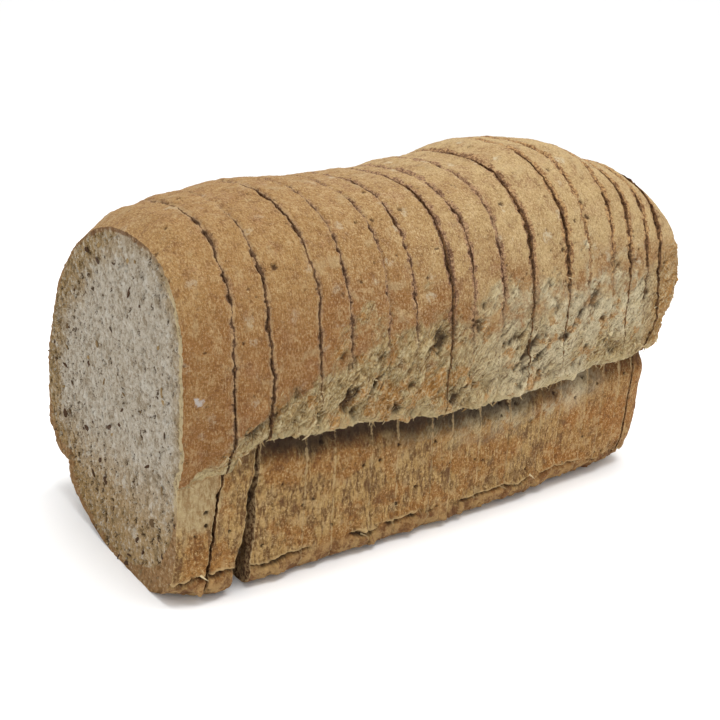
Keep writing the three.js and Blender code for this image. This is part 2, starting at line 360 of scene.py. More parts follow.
def heel_grid(number):
    """Rows of points round the heel, from its one cut over the rounded end to its middle."""
    slip = slice_slip(number)
    front_x, _ = slice_cuts(number)
    start = sum(SLICE_THICKNESS[:number])
    length = SLICE_THICKNESS[number]
    rim_end = along(NEAR_RIM, LOAF_LENGTH)

    def end_x(u, y, z):
        setback = HEEL_WALL_SETBACK * (1 - ease(z, rim_end - 4, HEEL_SETBACK_TOP)) * u
        return (1 - u) * front_x(y, z) + u * (start + length + LEAN * (z - LEAN_PIVOT)) - setback

    rows = []
    for u in 1 - (1 - row_positions(length, ROW_SPACING)) ** 1.6:
        inset = HEEL_ROUND * (1 - math.sqrt(max(0.0, 1 - u ** 2.6)))
        y, z, above = outline(start + u * length, STEPS, slip)
        y, z = lined_up(number, y, z)
        factor = 1 - inset / HEEL_INSET_SPAN
        flat = z < 0.5
        y = y * factor
        raised = np.maximum(0.4, HEART_HEIGHT + (z - HEART_HEIGHT) * factor)
        z = np.where(flat, 0.8 * ease(u, 0.85, 1), raised)
        rows.append((end_x(u, y, z), y, z, above, np.full_like(y, u * length)))
    _, y1, z1, above, _ = rows[-1]
    for f in np.linspace(0.985, 0.02, HEEL_END_ROWS):
        z = HEART_HEIGHT + (z1 - HEART_HEIGHT) * f
        x = end_x(1, y1 * f, z) + HEEL_BULGE * (1 - f * f)
        rows.append((x, y1 * f, z, above * f + 25 * (1 - f), np.full_like(z, length + 50 * (1 - f))))
    return rows


def inside(y, z, ring_y, ring_z):
    """Which points lie inside a closed ring."""
    hit = np.zeros(len(y), bool)
    y1, z1 = np.roll(ring_y, -1), np.roll(ring_z, -1)
    for a, b, c, d in zip(ring_y, ring_z, y1, z1):
        if b != d:
            hit ^= ((b > z) != (d > z)) & (y < (c - a) * (z - b) / (d - b) + a)
    return hit


def face_points(ring_y, ring_z, spacing):
    """Points spread evenly over a cut face and their distance from its outline."""
    rise = spacing * 0.866
    found = []
    for row, z in enumerate(np.arange(ring_z.min() + rise / 2, ring_z.max(), rise)):
        y = np.arange(ring_y.min(), ring_y.max(), spacing) + (spacing / 2 if row % 2 else 0)
        found.append(np.stack([y, np.full_like(y, z)], 1))
    points = np.concatenate(found)
    points = points[inside(points[:, 0], points[:, 1], ring_y, ring_z)]
    depth = np.full(len(points), 1e9)
    for a, b in zip(ring_y, ring_z):
        depth = np.minimum(depth, np.hypot(points[:, 0] - a, points[:, 1] - b))
    keep = depth > spacing * 0.6
    return points[keep], depth[keep]


def face_triangles(ring, ring_y, ring_z, points, first):
    """Triangles over a cut face, from its ring's vertex numbers and its own points' numbers."""
    flat = [Vector((a, b)) for a, b in zip(ring_y, ring_z)]
    flat += [Vector((a, b)) for a, b in points]
    count = len(ring)
    loop = [(i, (i + 1) % count) for i in range(count)]
    _, _, faces, originals, _, _ = delaunay_2d_cdt(flat, loop, [], 1, 1e-5)
    number = [ring[o[0]] if o[0] < count else first + o[0] - count for o in originals]
    return [[number[i] for i in face] for face in faces]


def oriented(faces, vertices, wanted_x):
    """Triangles turned so that they face along +X or -X."""
    turned = []
    for face in faces:
        a, b, c = (vertices[i] for i in face[:3])
        normal_x = (b[1] - a[1]) * (c[2] - a[2]) - (b[2] - a[2]) * (c[1] - a[1])
        turned.append(face if normal_x * wanted_x > 0 else face[::-1])
    return turned


def torn_share(vertices, above):
    """Height above the rim as a share of the torn crust's height there."""
    near = np.array([along(TORN_HEIGHT, x) for x in np.arange(0, LOAF_LENGTH + 6)])
    height = np.interp(vertices[:, 0], np.arange(len(near)), near)
    height = np.where(vertices[:, 1] < 0, height, FAR_TORN_HEIGHT)
    return above / height


def slice_mesh(number, crust, crumb):
    """The mesh of one slice, with the fields that its relief and materials follow."""
    heel = number == SLICES - 1
    front_x, back_x = slice_cuts(number)
    rows = heel_grid(number) if heel else slice_grid(number)
    grid = np.array(rows)                                  # row, field, point
    x, y, z, above, from_cut = (grid[:, i, :] for i in range(5))
    height, width = x.shape
    surface = np.stack([x, y, z], 2)
    across = np.gradient(surface, axis=0)
    around = np.roll(surface, -1, 1) - np.roll(surface, 1, 1)
    out = np.cross(across, around)
    out /= np.maximum(np.linalg.norm(out, axis=2, keepdims=True), 1e-9)
    if (out[0] * (surface[0] - [x[0].mean(), 0, HEART_HEIGHT])).sum() < 0:
        out = -out
    vertices = surface.reshape(-1, 3)
    outward = out.reshape(-1, 3)
    above, from_cut, depth = above.ravel(), from_cut.ravel(), np.zeros(vertices.shape[0])
    index = np.arange(height * width).reshape(height, width)
    a, b = index[:-1], index[1:]
    quads = np.stack([a, b, np.roll(b, -1, 1), np.roll(a, -1, 1)], 2).reshape(-1, 4)
    probe = quads[(height // 3) * width + width // 3]
    p = vertices[probe]
    if np.dot(np.cross(p[1] - p[0], p[2] - p[0]), outward[probe[0]]) < 0:
        quads = quads[:, ::-1]
    faces = quads.tolist()
    cut_from = len(faces)
    ends = [(0, front_x, -1)] + ([] if heel else [(height - 1, back_x, 1)])
    for row, surface_x, facing in ends:
        shown = row == 0 and number in SHOWN_FACES
        spacing = FACE_SPACING * (number + 1) if shown else HIDDEN_FACE_SPACING
        points, inward = face_points(y[row], z[row], spacing)
        first = len(vertices)
        made = np.stack([surface_x(points[:, 0], points[:, 1]), points[:, 0], points[:, 1]], 1)
        triangles = face_triangles(list(index[row]), y[row], z[row], points, first)
        vertices = np.concatenate([vertices, made])
        outward = np.concatenate([outward, np.tile([facing, 0.0, 0.0], (len(made), 1))])
        above = np.concatenate([above, points[:, 1] - 40])
        from_cut = np.concatenate([from_cut, np.zeros(len(made))])
        depth = np.concatenate([depth, inward])
        faces += oriented(triangles, vertices, facing)
    if heel:
        vertices = np.concatenate([vertices, [vertices[index[-1]].mean(0)]])
        outward = np.concatenate([outward, [[1.0, 0, 0]]])
        above, from_cut, depth = np.append(above, 25), np.append(from_cut, 100), np.append(depth, 0)
        tip = len(vertices) - 1
        closing = [[int(i), int(j), tip] for i, j in zip(index[-1], np.roll(index[-1], -1))]
        faces = faces[:cut_from] + oriented(closing, vertices, 1) + faces[cut_from:]
        cut_from += len(closing)

    mesh = bpy.data.meshes.new(f"slice_{number + 1:02d}_form")
    placed = (vertices + [SHIFT_X, SHIFT_Y, 0]) * MM
    mesh.from_pydata(placed.tolist(), [], faces, shade_flat=False)
    mesh.materials.append(crust)
    mesh.materials.append(crumb)
    cut = np.zeros(len(faces), np.int32)
    cut[cut_from:] = 1
    mesh.polygons.foreach_set("material_index", cut)
    add_field(mesh, "form", "FLOAT_VECTOR", vertices / 10)
    add_field(mesh, "out", "FLOAT_VECTOR", outward)
    add_field(mesh, "above_rim", "FLOAT", above)
    add_field(mesh, "torn", "FLOAT", torn_share(vertices, above))
    add_field(mesh, "from_cut", "FLOAT", from_cut)
    add_field(mesh, "depth", "FLOAT", depth)
    on_cut = np.zeros(len(vertices), np.int8)
    on_cut[index[0]] = 1
    if not heel:
        on_cut[index[-1]] = 2
    mark_sharp(mesh, on_cut)
    mesh.validate()
    return mesh


def add_field(mesh, name, kind, values):
    field = mesh.attributes.new(name, kind, "POINT")
    key = "vector" if kind == "FLOAT_VECTOR" else "value"
    field.data.foreach_set(key, np.asarray(values, np.float32).ravel())


def mark_sharp(mesh, on_cut):
    """The edges of the two cuts are sharp."""
    pairs = np.empty(len(mesh.edges) * 2, np.int32)
    mesh.edges.foreach_get("vertices", pairs)
    ends = on_cut[pairs.reshape(-1, 2)]
    sharp = (ends[:, 0] > 0) & (ends[:, 0] == ends[:, 1])
    mesh.attributes.new("sharp_edge", "BOOLEAN", "EDGE").data.foreach_set("value", sharp)


# Node trees

class Nodes:
    """Short words for making nodes, the same in a material and in Geometry Nodes."""

    def __init__(self, tree):
        self.tree = tree
        self.geometry = tree.bl_idname == "GeometryNodeTree"

    def add(self, kind, **settings):
        node = self.tree.nodes.new(kind)
        for key, value in settings.items():
            setattr(node, key, value)
        return node

    def put(self, socket, value):
        if isinstance(value, bpy.types.NodeSocket):
            self.tree.links.new(value, socket)
        else:
            socket.default_value = value

    def math(self, operation, a, b=0.0):
        node = self.add("ShaderNodeMath", operation=operation)
        self.put(node.inputs[0], a)
        self.put(node.inputs[1], b)
        return node.outputs[0]

    def sum(self, *values):
        total = values[0]
        for value in values[1:]:
            total = self.math("ADD", total, value)
        return total

    def product(self, *values):
        total = values[0]
        for value in values[1:]:
            total = self.math("MULTIPLY", total, value)
        return total

    def vector(self, operation, a, b):
        node = self.add("ShaderNodeVectorMath", operation=operation)
        self.put(node.inputs[0], a)
        self.put(node.inputs[1], b)
        return node.outputs["Value" if operation == "DOT_PRODUCT" else "Vector"]

    def axis(self, vector, number):
        direction = [0.0, 0.0, 0.0]
        direction[number] = 1.0
        return self.vector("DOT_PRODUCT", vector, direction)

    def joined(self, x=0.0, y=0.0, z=0.0):
        node = self.add("ShaderNodeCombineXYZ")
        for socket, value in zip(node.inputs, (x, y, z)):
            self.put(socket, value)
        return node.outputs[0]

    def noise(self, vector, scale, detail=2.0, roughness=0.5, output=0):
        node = self.add("ShaderNodeTexNoise")
        self.put(node.inputs["Vector"], vector)
        node.inputs["Scale"].default_value = scale
        node.inputs["Detail"].default_value = detail
        node.inputs["Roughness"].default_value = roughness
        return node.outputs[output]

    def bent(self, vector, amount, scale):
        """The pattern's place moved about by a noise, so that its cells aren't round."""
        shift = self.vector("SUBTRACT", self.noise(vector, scale, 2.0, 0.6, 1), (0.5, 0.5, 0.5))
        return self.vector("ADD", vector, self.scaled(shift, amount))

    def scaled(self, vector, amount):
        return self.vector("MULTIPLY", vector, (amount, amount, amount))

    def cells(self, vector, scale):
        node = self.add("ShaderNodeTexVoronoi")
        self.put(node.inputs["Vector"], vector)
        node.inputs["Scale"].default_value = scale
        return node.outputs["Distance"], node.outputs["Color"]

    def step(self, value, low, high, out_low=0.0, out_high=1.0):
        """Eases from one number to the other while the value goes from low to high."""
        if low > high:
            low, high, out_low, out_high = high, low, out_high, out_low
        node = self.add("ShaderNodeMapRange", interpolation_type="SMOOTHSTEP")
        for key, number in zip((0, 1, 2, 3, 4), (value, low, high, out_low, out_high)):
            self.put(node.inputs[key], number)
        return node.outputs[0]

    def field(self, name, vector=False):
        if self.geometry:
            node = self.add("GeometryNodeInputNamedAttribute",
                            data_type="FLOAT_VECTOR" if vector else "FLOAT")
            node.inputs["Name"].default_value = name
            return node.outputs["Attribute"]
        node = self.add("ShaderNodeAttribute", attribute_name=name)
        return node.outputs["Vector" if vector else "Fac"]

    def centred(self, value, amount):
        return self.product(self.math("SUBTRACT", value, 0.5), amount)

    def moved(self, vector, x, y, z):
        return self.vector("ADD", vector, (x, y, z))

    def blend(self, factor, a, b):
        node = self.add("ShaderNodeMix", data_type="RGBA")
        self.put(node.inputs[0], factor)
        self.put(node.inputs[6], a)
        self.put(node.inputs[7], b)
        return node.outputs[2]

    def speckled(self, tone, pattern, dark, dark_share, light, light_share):
        """Dark where the pattern is low and light where it is high, on top of a tone."""
        tone = self.blend(self.product(self.step(pattern, 0.475, 0.37), dark_share), tone, dark)
        return self.blend(self.product(self.step(pattern, 0.525, 0.63), light_share), tone, light)


def colour(red, green, blue):
    """The linear colour that shows as this display colour, from 0 to 255, in the studio's light."""
    return (*[((c / 255 + 0.055) / 1.055) ** 2.4 / LIGHT_LEVEL for c in (red, green, blue)], 1.0)


def chosen_cells(n, vector, scale, share, size):
    """A mask of small spots in a share of the cells of a pattern."""
    distance, random = n.cells(vector, scale)
    chosen = n.math("LESS_THAN", n.axis(random, 0), share)
    return n.product(chosen, n.step(distance, size, size * 0.5))


# Patterns that the relief and the colours share, all on the loaf's own form in centimetres

def crust_pores(n, form):
    fine = chosen_cells(n, n.bent(form, 0.22, 7.0), 4.4, 0.13, 0.26)
    fine = n.product(fine, n.step(n.noise(form, 1.4, 2.0), 0.42, 0.60, 0.15, 0.8))
    seeds = chosen_cells(n, n.bent(form, 0.30, 5.0), 1.5, 0.16, 0.17)
    return n.math("MAXIMUM", fine, seeds)


def wall_pits(n, form):
    return chosen_cells(n, n.bent(form, 0.14, 8.0), 2.6, 0.22, 0.24)


def strand_place(n, form):
    """Place along and across the torn strands, which climb towards the heel."""
    x, y, z = (n.axis(form, i) for i in range(3))
    lengthwise = n.sum(n.product(x, 0.62), n.product(z, 0.78))
    crosswise = n.sum(n.product(x, -0.78), n.product(z, 0.62))
    return n.joined(n.product(lengthwise, 1.1), n.product(y, 2.4), n.product(crosswise, 4.6))


def shreds(n, form):
    """Torn strands, broken up by crumbly grains."""
    strands = n.noise(n.bent(strand_place(n, form), 2.2, 0.5), 1.3, 6.0, 0.74)
    return n.sum(n.product(strands, 0.55), n.product(n.noise(form, 3.2, 6.0, 0.78), 0.45))


def fibres(n, form):
    """Fine threads of the torn crumb, drawn out along the strands."""
    place = n.vector("MULTIPLY", n.bent(strand_place(n, form), 2.2, 0.5), (0.8, 1.0, 1.0))
    return n.noise(place, 4.2, 3.0, 0.7)


def plates(n, form):
    """A random level for each of the broken flakes of the torn crust."""
    _, random = n.cells(n.bent(strand_place(n, form), 2.0, 0.7), 0.60)
    return n.axis(random, 1)


def clefts(n, form):
    """Openings between the torn strands, a few millimetres long, sunk in the relief and given painted shade
    in the colour.
    """
    distance, _ = n.cells(n.bent(strand_place(n, form), 2.4, 0.8), 0.70)
    return n.product(n.step(distance, 0.52, 0.80), n.step(n.noise(form, 1.1, 3.0), 0.48, 0.6))


def wall_streaks(n, form):
    x, y, z = (n.axis(form, i) for i in range(3))
    return n.noise(n.joined(n.product(x, 5.0), n.product(y, 2.0), n.product(z, 1.2)), 1.7, 4.0, 0.65)


def torn_mask(n, form):
    """How torn the crust is: full in a band above the rim, with a broken upper edge and whole islands."""
    uneven = n.centred(n.noise(form, 0.85, 6.0, 0.70), 2.6)
    height = n.sum(n.field("torn"), uneven)
    return n.product(n.step(n.field("above_rim"), -1.2, 0.8), n.step(height, 1.18, 0.74))


def crumb_pits(n, form):
    """Irregular pits of the crumb, drawn out up and down, thicker towards the far side and the foot."""
    x, y, z = (n.axis(form, i) for i in range(3))
    place = n.bent(n.joined(x, n.product(y, 1.6), z), 0.35, 4.0)
    more = n.sum(n.step(y, -2.0, 5.0, 0.0, 0.035), n.step(z, 5.0, 1.5, 0.0, 0.02))
    holes = n.step(n.sum(n.noise(place, 2.3, 3.0, 0.6), more), 0.615, 0.655)
    fine = n.step(n.sum(n.noise(place, 5.2, 4.0, 0.68), more), 0.60, 0.67)
    return n.math("MAXIMUM", holes, fine)


def crumb_stucco(n, form):
    return n.noise(n.bent(form, 0.15, 5.0), 6.5, 5.0, 0.74)


def fold_line(n, form, z):
    """Distance above the ragged fold that runs along the foot, in millimetres."""
    height = n.sum(8.0, n.product(n.math("SUBTRACT", n.noise(form, 0.6, 4.0, 0.6), 0.5), 11.0))
    return n.math("SUBTRACT", z, height)


def fold_presence(n, form):
    return n.step(n.noise(n.moved(form, 4.0, 1.0, 7.0), 0.9, 4.0, 0.62), 0.42, 0.52)


def relief_tree(name):
    """Raises and lowers the surface of a slice along its own outward direction, and sets loose
    shreds on its torn crust and seeds in its crumb."""
    tree = bpy.data.node_groups.new(name, "GeometryNodeTree")
    face = tree.interface
    face.new_socket("Geometry", in_out="INPUT", socket_type="NodeSocketGeometry")
    sizes = {"Lump height": 0.6, "Wrinkle height": 0.28, "Pore depth": 0.8, "Shred height": 1.1,
             "Plate height": 0.7, "Cleft depth": 2.1, "Streak height": 0.3, "Fold depth": 1.6,
             "Ledge depth": 2.6, "Crumb pit depth": 1.1, "Ragged edge": 0.8, "Seed density": 1200.0,
             "Shred density": 90000.0, "Flake density": 26000.0}
    for label, size in sizes.items():
        socket = face.new_socket(label, in_out="INPUT", socket_type="NodeSocketFloat")
        socket.default_value = size
    for label in ("Shred material", "Seed material"):
        face.new_socket(label, in_out="INPUT", socket_type="NodeSocketMaterial")
    face.new_socket("Geometry", in_out="OUTPUT", socket_type="NodeSocketGeometry")
    n = Nodes(tree)
    given = n.add("NodeGroupInput")
    size = {label: given.outputs[label] for label in sizes}
    form = n.field("form", vector=True)
    out = n.field("out", vector=True)
    above = n.field("above_rim")
    from_cut = n.field("from_cut")
    depth = n.field("depth")
    z = n.product(n.axis(form, 2), 10.0)

    on_crust = n.step(depth, 0.3, 0.0)
    on_wall = n.step(above, 0.5, -0.5)
    x, y = n.axis(form, 0), n.axis(form, 1)
    band = torn_mask(n, form)
    whole = n.math("SUBTRACT", 1.0, band)
    lumps = n.product(n.centred(n.noise(form, 0.8, 2.0), size["Lump height"]), 3.0)
    wrinkles = n.product(n.centred(n.noise(form, 5.5, 4.0, 0.62), size["Wrinkle height"]), 3.0)
    pores = n.product(crust_pores(n, form), size["Pore depth"], whole, -1.0)
    tears = n.product(n.centred(shreds(n, form), size["Shred height"]), band, 4.6)
    levels = n.product(n.centred(plates(n, form), size["Plate height"]), band, 1.3)
    rifts = n.product(clefts(n, form), size["Cleft depth"], band, -1.0)
    streaks = n.product(n.centred(wall_streaks(n, form), size["Streak height"]), on_wall, 2.5)
    pits = n.product(wall_pits(n, form), on_wall, size["Pore depth"], -1.2)
    over_fold = fold_line(n, form, z)
    groove = n.product(n.step(over_fold, -0.9, 0.0), n.step(over_fold, 1.1, 0.2), size["Fold depth"], -1.0)
    lip = n.product(n.step(over_fold, 0.3, 1.0), n.step(over_fold, 3.6, 1.2), 0.9)
    roll = n.product(n.step(over_fold, 0.0, -1.5), 0.9)
    pucker_wave = n.noise(n.joined(n.product(x, 2.6), 0.0, n.product(z, 0.06)), 1.0, 4.0, 0.6)
    puckers = n.product(n.centred(pucker_wave, 6.5), n.step(over_fold, 1.5, -1.5))
    fold = n.product(n.sum(groove, lip, roll, puckers), fold_presence(n, form), on_wall,
                     n.step(z, 40.0, 30.0))
    overhang = n.product(n.step(x, 1.7, 3.4), n.step(y, 1.0, 0.0))
    hollow = n.product(n.step(above, -9.0, -1.5), n.step(above, 2.0, -0.5), size["Ledge depth"],
                       overhang, -1.0)
    brim = n.product(n.step(above, 1.0, 3.0), n.step(above, 9.0, 4.0), 1.0, overhang)
    rise = n.sum(lumps, wrinkles, pores, tears, levels, rifts, streaks, pits, fold, hollow, brim)
    edge = n.step(from_cut, 1.4, 0.1)
    broken = n.noise(form, 2.6, 5.0, 0.74)
    chips = n.product(n.step(broken, 0.51, 0.62), -1.0)
    curls = n.product(n.step(n.noise(n.moved(form, 5.0, 5.0, 5.0), 1.7, 3.0), 0.50, 0.66), 0.7)
    ragged = n.product(n.sum(chips, curls), size["Ragged edge"], edge, n.step(x, 0.2, 0.6, 0.4, 1.0))
    near_edge = n.step(from_cut, 0.0, 1.0, 0.45, 1.0)
    rise = n.sum(n.product(rise, near_edge), n.product(ragged, n.step(above, -4.0, 12.0, 0.3, 1.0)))
    rise = n.product(rise, on_crust, n.step(z, 0.6, 4.0))

    pitted = n.product(crumb_pits(n, form), size["Crumb pit depth"], -1.0)
    rough = n.centred(crumb_stucco(n, form), 2.2)
    sunk = n.product(n.sum(pitted, rough), n.step(depth, 0.3, 1.6))
    push = n.add("ShaderNodeVectorMath", operation="SCALE")
    n.put(push.inputs[0], out)
    n.put(push.inputs["Scale"], n.product(n.sum(rise, sunk), MM))
    frayed = n.math("MAXIMUM", n.step(above, -4.0, 12.0, 0.45, 1.0), n.step(x, 4.0, 3.2, 0.0, 1.8))
    wander = n.product(n.centred(n.noise(form, 4.5, 5.0, 0.72), 1.1 * MM), edge, on_crust, frayed)
    droop = n.product(n.centred(n.noise(form, 1.1, 5.0, 0.66), -5.0 * MM), n.step(above, -1.0, 1.0),
                      n.step(above, 9.0, 2.0), on_crust)
    move = n.add("GeometryNodeSetPosition")
    n.put(move.inputs["Geometry"], given.outputs["Geometry"])
    n.put(move.inputs["Offset"], n.vector("ADD", push.outputs[0], n.joined(wander, 0.0, droop)))
    bread = move.outputs[0]
    at_ledge = n.product(n.step(above, -0.8, 0.2), n.step(above, 2.2, 1.2))
    at_fold = n.product(n.step(over_fold, -0.5, 0.5), n.step(over_fold, 2.5, 1.5), 0.5)
    loose = n.product(n.math("MAXIMUM", at_ledge, at_fold), n.step(y, 0.0, -2.0))
    parts = [bread, shred_instances(n, bread, given, size["Shred density"], band),
             flake_instances(n, bread, given, size["Flake density"], loose),
             seed_instances(n, bread, given, size["Seed density"], depth)]
    together = n.add("GeometryNodeJoinGeometry")
    for part in reversed(parts):
        n.tree.links.new(part, together.inputs[0])
    result = n.add("NodeGroupOutput")
    n.put(result.inputs[0], together.outputs[0])
    return tree


def scattered(n, surface, density, seed, material_number):
    """Points on the faces of one of the surface's two materials."""
    number = n.add("GeometryNodeInputMaterialIndex")
    same = n.add("FunctionNodeCompare", data_type="INT", operation="EQUAL")
    n.put(same.inputs[2], number.outputs[0])
    same.inputs[3].default_value = material_number
    points = n.add("GeometryNodeDistributePointsOnFaces")
    n.put(points.inputs["Mesh"], surface)
    n.put(points.inputs["Selection"], same.outputs[0])
    n.put(points.inputs["Density"], density)
    points.inputs["Seed"].default_value = seed
    return points


def random_vector(n, low, high, seed):
    node = n.add("FunctionNodeRandomValue", data_type="FLOAT_VECTOR")
    node.inputs[0].default_value = low
    node.inputs[1].default_value = high
    node.inputs["Seed"].default_value = seed
    return node.outputs[0]


def turned_along(n, direction):
    """The rotation that points a shape's own Z along a direction."""
    turn = n.add("FunctionNodeAlignRotationToVector", axis="Z")
    n.put(turn.inputs["Vector"], direction)
    return turn.outputs[0]


def placed_instances(n, points, shape, rotation, scale, material):
    """The shape on every point, made real and given its material."""
    copies = n.add("GeometryNodeInstanceOnPoints")
    n.put(copies.inputs["Points"], points)
    n.put(copies.inputs["Instance"], shape)
    n.put(copies.inputs["Rotation"], rotation)
    n.put(copies.inputs["Scale"], scale)
    real = n.add("GeometryNodeRealizeInstances")
    n.put(real.inputs[0], copies.outputs[0])
    painted = n.add("GeometryNodeSetMaterial")
    n.put(painted.inputs["Geometry"], real.outputs[0])
    n.put(painted.inputs["Material"], material)
    return painted.outputs[0]


def curved_spike(n, sides, steps, tip, base, length, bend):
    """A pointed shred that curves over, with sizes in millimetres."""
    fibre = n.add("GeometryNodeMeshCone")
    for key, value in {"Vertices": sides, "Side Segments": steps, "Radius Top": tip * MM,
                       "Radius Bottom": base * MM, "Depth": length * MM}.items():
        fibre.inputs[key].default_value = value
    place = n.add("GeometryNodeInputPosition")
    along_fibre = n.axis(place.outputs[0], 2)
    curve = n.add("GeometryNodeSetPosition")
    n.put(curve.inputs["Geometry"], fibre.outputs["Mesh"])
    n.put(curve.inputs["Offset"], n.joined(n.product(along_fibre, along_fibre, bend)))
    return curve.outputs[0]


def flake_instances(n, surface, given, density, where):
    """Larger loose flakes of crust and crumb that hang at the ledge and the fold."""
    points = scattered(n, surface, n.product(density, where), 31, 0)
    flake = curved_spike(n, 5, 4, 0.08, 0.75, 3.6, 110.0)
    lean = random_vector(n, (-1.0, -0.3, -0.8), (1.0, 0.1, 0.4), 32)
    turn = turned_along(n, n.vector("ADD", lean, n.scaled(points.outputs["Normal"], 0.5)))
    scale = random_vector(n, (0.4, 0.25, 0.3), (1.3, 0.6, 1.1), 33)
    return placed_instances(n, points.outputs["Points"], flake, turn, scale,
                            given.outputs["Shred material"])


def shred_instances(n, surface, given, density, band):
    """Fine curved fibres that stand up from the torn crust, mostly along its strands."""
    points = scattered(n, surface, n.product(density, band), 11, 0)
    fibre = curved_spike(n, 3, 3, 0.04, 0.24, 2.2, 130.0)
    lean = random_vector(n, (-1.0, -0.5, -0.9), (1.0, 0.5, 0.9), 12)
    strand = n.moved(lean, 0.45, 0.0, 0.4)
    turn = turned_along(n, n.vector("ADD", strand, n.scaled(points.outputs["Normal"], 0.25)))
    scale = random_vector(n, (0.5, 0.5, 0.25), (1.9, 1.2, 1.0), 13)
    return placed_instances(n, points.outputs["Points"], fibre, turn, scale,
                            given.outputs["Shred material"])


def seed_instances(n, surface, given, density, depth):
    """Flat dark seeds and grains half sunk in the crumb."""
    points = scattered(n, surface, n.product(density, n.step(depth, 0.8, 2.0)), 21, 1)
    seed = n.add("GeometryNodeMeshIcoSphere")
    seed.inputs["Radius"].default_value = 0.65 * MM
    seed.inputs["Subdivisions"].default_value = 2
    tilt = n.scaled(random_vector(n, (-1, -1, -1), (1, 1, 1), 22), 0.5)
    turn = turned_along(n, n.vector("ADD", points.outputs["Normal"], tilt))
    spin = n.add("FunctionNodeRotateRotation", rotation_space="LOCAL")
    n.put(spin.inputs[0], turn)
    n.put(spin.inputs[1], random_vector(n, (0, 0, 0), (0, 0, 6.28), 23))
    scale = random_vector(n, (0.6, 0.7, 0.3), (1.9, 3.2, 0.7), 24)
    return placed_instances(n, points.outputs["Points"], seed.outputs["Mesh"], spin.outputs[0], scale,
                            given.outputs["Seed material"])


def solved(obj):
    """The object's mesh with its modifiers applied and removed."""
    graph = bpy.context.evaluated_depsgraph_get()
    mesh = bpy.data.meshes.new_from_object(obj.evaluated_get(graph), preserve_all_data_layers=True,
                                           depsgraph=graph)
    obj.modifiers.clear()
    obj.data = mesh
    return obj


# Materials

def new_material(name, roughness, shine):
    material = bpy.data.materials.new(name)
    material.use_nodes = True
    shader = material.node_tree.nodes["Principled BSDF"]
    shader.inputs["Roughness"].default_value = roughness
    shader.inputs["Specular IOR Level"].default_value = shine
    return material, Nodes(material.node_tree), shader


def add_grain(n, shader, height, strength, distance):
    bump = n.add("ShaderNodeBump")
    bump.inputs["Strength"].default_value = strength
    bump.inputs["Distance"].default_value = distance
    n.put(bump.inputs["Height"], height)
    n.put(shader.inputs["Normal"], bump.outputs[0])


def dome_tone(n, form, torn):
    """Golden tan, more toasted on the first slices' sides and just over the torn crust."""
    x, y, z = (n.axis(form, i) for i in range(3))
    side = n.step(z, 11.2, 8.0)
    near_end = n.step(x, 11.0, 4.5, 0.2, 1.2)
    over_torn = n.product(n.step(torn, 2.8, 1.0), side, n.step(n.noise(form, 0.9, 3.0), 0.40, 0.60), 0.9)
    toast = n.sum(n.product(side, near_end, 0.75), over_torn, n.centred(n.noise(form, 0.55, 5.0, 0.62), 2.0))
    toast = n.math("MINIMUM", n.math("MAXIMUM", toast, 0.0), 1.0)
    golden = n.blend(n.step(x, 6.0, 15.0), colour(180, 137, 80), colour(206, 174, 120))
    tone = n.blend(toast, golden, colour(158, 105, 48))
    rosy = n.step(n.noise(n.moved(form, 7.0, 3.0, 1.0), 1.1, 5.0, 0.66), 0.52, 0.68)
    tone = n.blend(n.product(rosy, 0.45), tone, colour(166, 118, 80))
    mottle = n.noise(n.moved(form, 1.0, 9.0, 5.0), 2.3, 7.0, 0.74)
    light_share = n.step(x, 3.0, 9.0, 0.3, 0.55)
    tone = n.speckled(tone, mottle, colour(132, 84, 42), 0.6, colour(222, 190, 138), light_share)
    streaks = n.noise(n.joined(n.product(x, 9.0), n.product(y, 3.0), n.product(z, 3.0)), 2.4, 4.0, 0.7)
    tone = n.speckled(tone, streaks, colour(118, 78, 42), 0.45, colour(220, 190, 138), 0.45)
    grains = n.noise(form, 15.0, 4.0, 0.8)
    tone = n.speckled(tone, grains, colour(106, 68, 38), 0.4, colour(238, 212, 166), light_share)
    patch = n.step(n.noise(n.moved(form, 9.0, 2.0, 4.0), 1.3, 4.0, 0.6), 0.57, 0.68)
    tone = n.blend(n.product(patch, 0.4), tone, colour(204, 178, 132))
    fleck = chosen_cells(n, n.bent(n.moved(form, 3.1, 0.7, 5.2), 0.55, 2.6), 1.35, 0.36, 0.30)
    fleck = n.product(fleck, n.step(n.noise(form, 9.0, 4.0, 0.75), 0.40, 0.58))
    tone = n.blend(n.product(fleck, n.step(x, 4.0, 12.0, 0.4, 0.75)), tone, colour(220, 204, 172))
    from_spot = n.moved(n.bent(form, 0.4, 5.0), *[-place for place in WHITE_SPOT])
    spot = n.step(n.vector("DOT_PRODUCT", from_spot, from_spot), 0.040, 0.020)
    spot = n.product(spot, n.step(n.noise(form, 8.0, 4.0, 0.75), 0.38, 0.50, 0.3, 1.0))
    tone = n.blend(n.product(spot, 0.9), tone, colour(210, 200, 192))
    # Painted shade in the crust's pores, over the seeds' own dark colour
    return n.blend(n.product(crust_pores(n, form), 0.75), tone, colour(80, 48, 28)), streaks


